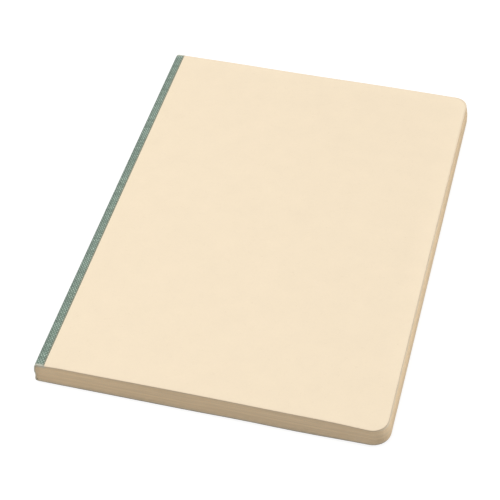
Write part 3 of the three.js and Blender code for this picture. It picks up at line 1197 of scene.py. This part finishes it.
def thread_length(start, axis, step, radius):
    """A straight length of thread. Its ring is turned about the axis to face along the step."""
    shape = bmesh.new()
    ring = bmesh.ops.create_circle(shape, segments=8, radius=radius, cap_ends=True)["verts"]
    turned = Matrix.Translation(start) @ Matrix.Rotation(math.pi / 2, 4, axis)
    bmesh.ops.transform(shape, matrix=turned, verts=ring)
    extrude_faces(shape, list(shape.faces), step)
    return shape


def sewing_thread(box):
    """A thread that runs inside a fold and comes out to the lining at each of four holes."""
    low, high = box
    radius = (high.z - low.z) / 2
    x = high.x - radius
    middle = (low.z + high.z) / 2
    first, last = low.y + radius, high.y - radius
    shape = thread_length((x, low.y, middle), "X", (0, high.y - low.y, 0), radius)
    ends = [edge for edge in shape.edges if edge.calc_face_angle() > SQUARE_ANGLE]
    bevel(shape, ends, radius * 0.6, 3)
    for step in range(4):
        hole = first + (last - first) * step / 3
        merge_in(shape, thread_length((low.x, hole, middle), "Y", (x - low.x, 0, 0), radius))
    settle(shape, ())
    return shape


# Operators


class NOTEBOOK_OT_fold_sections(bpy.types.Operator):
    """Fold the sheets of the ten sections"""

    bl_idname = "notebook.fold_sections"
    bl_label = "Fold Sections"

    def execute(self, context):
        paper = context.scene.notebook_paper
        rng = random.Random(TRIM_SEED)
        faces = material("writing paper", sheet_face, paper.page_colour, 0.08, 0.008 * MM)
        edges = material("page edges", sheet_edge)
        for index in SECTIONS:
            node = f"section_{index:02d}"
            shape = page_section(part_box(node), paper, rng)
            piece = finish_piece(f"folded_sheets_{index:02d}", shape, (faces, edges), [node])
            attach(piece, BODY_OF_NODE[node])
        return {"FINISHED"}


class NOTEBOOK_OT_sew_sections(bpy.types.Operator):
    """Sew each section through its fold"""

    bl_idname = "notebook.sew_sections"
    bl_label = "Sew Sections"

    def execute(self, context):
        thread = material("linen thread", linen)
        for index in SECTIONS:
            node = f"sewing_thread_{index:02d}"
            shape = sewing_thread(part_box(node))
            piece = finish_piece(f"linen_thread_{index:02d}", shape, (thread,), [node], 60)
            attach(piece, BODY_OF_NODE[node])
        return {"FINISHED"}


class NOTEBOOK_OT_cut_covers(bpy.types.Operator):
    """Cut the two card covers"""

    bl_idname = "notebook.cut_covers"
    bl_label = "Cut Covers"

    def execute(self, context):
        cover = context.scene.notebook_cover
        spine = context.scene.notebook_spine
        for side, box, end_x, outward, rise, edge_colour in (
            ("front", FRONT_CARD, CARD_END_X, 1, spine.tape_rise, cover.card_edge_colour),
            ("back", BACK_CARD, SPINE_X + spine.back_bend_radius, -1, 0.0, cover.back_edge_card_and_shade_colour),
        ):
            node = f"{side}_cover"
            corners = corner_radii(context.scene.notebook_paper, box[0].z)
            ledge_depth = spine.tape_thickness - rise + LEDGE_PLAY
            shape = card_cover(box, end_x, outward, ledge_depth, corners, cover.edge_rounding)
            outline = (Vector((SPINE_X, box[0].y, 0)), box[1])
            face = material(f"{side} card face", card_face, outline, corners[0])
            edge = material(f"{side} card cut edge", card_edge, edge_colour)
            piece = finish_piece(f"{side}_card", shape, (face, edge), [node])
            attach(piece, BODY_OF_NODE[node])
        return {"FINISHED"}


class NOTEBOOK_OT_lay_endpapers(bpy.types.Operator):
    """Lay the pasted sheets and the flyleaves"""

    bl_idname = "notebook.lay_endpapers"
    bl_label = "Lay Endpapers"

    def execute(self, context):
        paper = context.scene.notebook_paper
        faces = material("endpaper stock", sheet_face, paper.endpaper_colour, 0.14, 0.012 * MM)
        edges = material("page edges", sheet_edge)
        for node in ("front_pastedown", "front_flyleaf", "back_flyleaf", "back_pastedown"):
            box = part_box(node)
            shape = flat_sheet(box, corner_radii(paper, box[0].z))
            piece = finish_piece(f"{node}_sheet", shape, (faces, edges), [node])
            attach(piece, BODY_OF_NODE[node])
        return {"FINISHED"}


def opening_strips(word, node_word, x, materials, thickness, inset=0.0, rounding=0.0):
    """The strips that bend where the notebook falls open. They meet halfway between two openings."""
    reach = bpy.context.scene.notebook_spine.crease_reach
    first, second, third = OPENING_HEIGHTS.values()
    seams = [BEND_RADIUS, (first + second) / 2, (second + third) / 2, TOP_Z - BEND_RADIUS]
    for quarter, (section, middle) in enumerate(OPENING_HEIGHTS.items(), 1):
        lower, upper = f"quarter_{quarter}", f"quarter_{quarter + 1}"
        bottom, top = seams[quarter - 1], seams[quarter]
        creases = [middle + reach * share for share in CREASES]
        shape = spine_strip((x, bottom), [(x, top)], thickness, inset, creases, rounding)
        nodes = [f"{node_word}_{lower}", f"{node_word}_{upper}"]
        piece = finish_piece(f"{word}_opening_{section:02d}", shape, materials, nodes)
        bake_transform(piece)


class NOTEBOOK_OT_line_spine(bpy.types.Operator):
    """Glue the gauze lining to the folds"""

    bl_idname = "notebook.line_spine"
    bl_label = "Line Spine"

    def execute(self, context):
        spine = context.scene.notebook_spine
        inset = spine.tape_thickness
        thickness = spine.lining_thickness
        bend = spine.back_bend_radius
        x = SPINE_X + inset
        materials = (material("gauze lining", gauze), material("gauze cut end", gauze_cut))
        opening_strips("gauze", "spine_lining", x, materials, thickness, inset)
        for side, quarter, seam, centre_z, outer, edge in (
            ("front", "quarter_4", TOP_Z - BEND_RADIUS, TOP_Z - BEND_RADIUS, BEND_RADIUS, 1),
            ("back", "quarter_1", BEND_RADIUS, bend, bend, 0),
        ):
            node = f"spine_lining_{quarter}"
            turn = math.asin((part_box(node)[edge].z - centre_z) / (outer - inset))
            steps = [(x, centre_z)] if side == "back" else []
            steps.append((SPINE_X + outer, centre_z, turn))
            shape = spine_strip((x, seam), steps, thickness, inset)
            piece = finish_piece(f"gauze_{side}_bend", shape, materials, [node])
            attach(piece, quarter)
        return {"FINISHED"}


class NOTEBOOK_OT_wrap_tape(bpy.types.Operator):
    """Wrap the cloth tape over the spine and on to both covers"""

    bl_idname = "notebook.wrap_tape"
    bl_label = "Wrap Tape"

    def execute(self, context):
        spine = context.scene.notebook_spine
        thickness = spine.tape_thickness
        bend = spine.back_bend_radius
        materials = (material("book cloth", book_cloth), material("cloth cut end", cloth_cut))
        opening_strips(
            "tape", "spine_tape", SPINE_X, materials, thickness, rounding=TAPE_ROUNDING
        )
        for side, quarter, seam, outer_z, turn, radius in (
            ("front", "quarter_4", TOP_Z - BEND_RADIUS, TOP_Z + spine.tape_rise, 1, BEND_RADIUS),
            ("back", "quarter_1", BEND_RADIUS, 0.0, -1, bend),
        ):
            centre_z = outer_z - turn * radius
            bend_end = SPINE_X + radius
            steps = [
                (SPINE_X, centre_z),
                (bend_end, centre_z, turn * math.pi / 2),
                (STRIP_END_X, outer_z),
            ]
            shape = spine_strip((SPINE_X, seam), steps, thickness, rounding=TAPE_ROUNDING)
            nodes = [f"{side}_tape_strip", f"spine_tape_{quarter}"]
            piece = finish_piece(f"tape_{side}_hinge", shape, materials, nodes)
            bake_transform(piece)
        return {"FINISHED"}


class NOTEBOOK_OT_set_stage(bpy.types.Operator):
    """Lay the floor, hang the lights and place the camera"""

    bl_idname = "notebook.set_stage"
    bl_label = "Set Stage"

    def execute(self, context):
        stage = context.scene.notebook_stage
        self.lay_floor(stage)
        self.light_room(stage)
        self.hang_lamp("soft_key", stage.key_power, stage.key_place, stage.lamp_size)
        self.hang_lamp("soft_side", stage.side_power, stage.side_place, stage.lamp_size)
        self.place_camera(stage)
        context.scene.view_settings.view_transform = "Standard"
        return {"FINISHED"}

    def lay_floor(self, stage):
        shape = bmesh.new()
        bmesh.ops.create_grid(shape, x_segments=1, y_segments=1, size=FLOOR_SIZE)
        bmesh.ops.translate(shape, vec=(0, 0, -stage.floor_drop), verts=shape.verts)
        floor = add_mesh("studio_floor", shape, (floor_material(),))

    def light_room(self, stage):
        """Even light from all round, which the camera and reflections see as plain white."""
        world = bpy.data.worlds.new("studio room")
        bpy.context.scene.world = world
        world.use_nodes = True
        wiring = Wiring(world.node_tree)
        room = world.node_tree.nodes["Background"]
        room.inputs["Color"].default_value = (1, 1, 1, 1)
        room.inputs["Strength"].default_value = stage.room_light
        white = wiring.add("ShaderNodeBackground", inputs={"Color": (1, 1, 1), "Strength": 1.0})
        inputs = {0: wiring.seen(), 1: room.outputs[0], 2: white.outputs[0]}
        mixed = wiring.add("ShaderNodeMixShader", inputs=inputs)
        wiring.feed(world.node_tree.nodes["World Output"].inputs["Surface"], mixed.outputs[0])

    def hang_lamp(self, name, power, at, size):
        """A large soft lamp that faces the notebook."""
        lamp = bpy.data.lights.new(name, "AREA")
        lamp.energy = power
        lamp.shape = "SQUARE"
        lamp.size = size
        hung = add_object(name, lamp)
        hung.location = at
        hung.rotation_euler = (-hung.location).to_track_quat("-Z", "Y").to_euler()

    def place_camera(self, stage):
        azimuth, elevation, roll = stage.camera_azimuth, stage.camera_elevation, stage.camera_roll
        ahead_x = -math.sin(azimuth) * math.cos(elevation)
        ahead_y = math.cos(azimuth) * math.cos(elevation)
        ahead = Vector((ahead_x, ahead_y, -math.sin(elevation)))
        level = ahead.cross(Vector((0, 0, 1))).normalized()
        upright = level.cross(ahead)
        right = level * math.cos(roll) + upright * math.sin(roll)
        up = -level * math.sin(roll) + upright * math.cos(roll)
        across, down, far = stage.camera_offset
        lens = bpy.data.cameras.new("studio_camera")
        lens.sensor_width = 36
        lens.lens = stage.camera_lens
        lens.clip_start = 0.01
        lens.clip_end = 20
        camera = add_object("studio_camera", lens)
        turned = Matrix((right, up, -ahead)).transposed().to_4x4()
        turned.translation = -across * right + down * up - far * ahead
        camera.matrix_world = turned
        bpy.context.scene.camera = camera


class NOTEBOOK_PT_build(bpy.types.Panel):
    """Lists the notebook's settings and the steps that build it"""

    bl_idname = "NOTEBOOK_PT_build"
    bl_label = "Softcover Notebook"
    bl_space_type = "VIEW_3D"
    bl_region_type = "UI"
    bl_category = "Notebook"

    def draw(self, context):
        layout = self.layout
        for key, group in SETTINGS.items():
            values = getattr(context.scene, key)
            box = layout.box()
            box.label(text=group.__doc__)
            for name in group.__annotations__:
                box.prop(values, name)
        for operator in OPERATORS:
            layout.operator(operator.bl_idname)


OPERATORS = (
    NOTEBOOK_OT_fold_sections,
    NOTEBOOK_OT_sew_sections,
    NOTEBOOK_OT_cut_covers,
    NOTEBOOK_OT_lay_endpapers,
    NOTEBOOK_OT_line_spine,
    NOTEBOOK_OT_wrap_tape,
    NOTEBOOK_OT_set_stage,
)
CLASSES = (*SETTINGS.values(), *OPERATORS, NOTEBOOK_PT_build)


def register():
    for cls in CLASSES:
        bpy.utils.register_class(cls)
    for key, group in SETTINGS.items():
        setattr(bpy.types.Scene, key, PointerProperty(type=group))


def unregister():
    for key in SETTINGS:
        delattr(bpy.types.Scene, key)
    for cls in reversed(CLASSES):
        bpy.utils.unregister_class(cls)


def main():
    register()
    bpy.ops.notebook.fold_sections()
    bpy.ops.notebook.sew_sections()
    bpy.ops.notebook.cut_covers()
    bpy.ops.notebook.lay_endpapers()
    bpy.ops.notebook.line_spine()
    bpy.ops.notebook.wrap_tape()
    bpy.ops.notebook.set_stage()


if __name__ == "__main__":
    main()
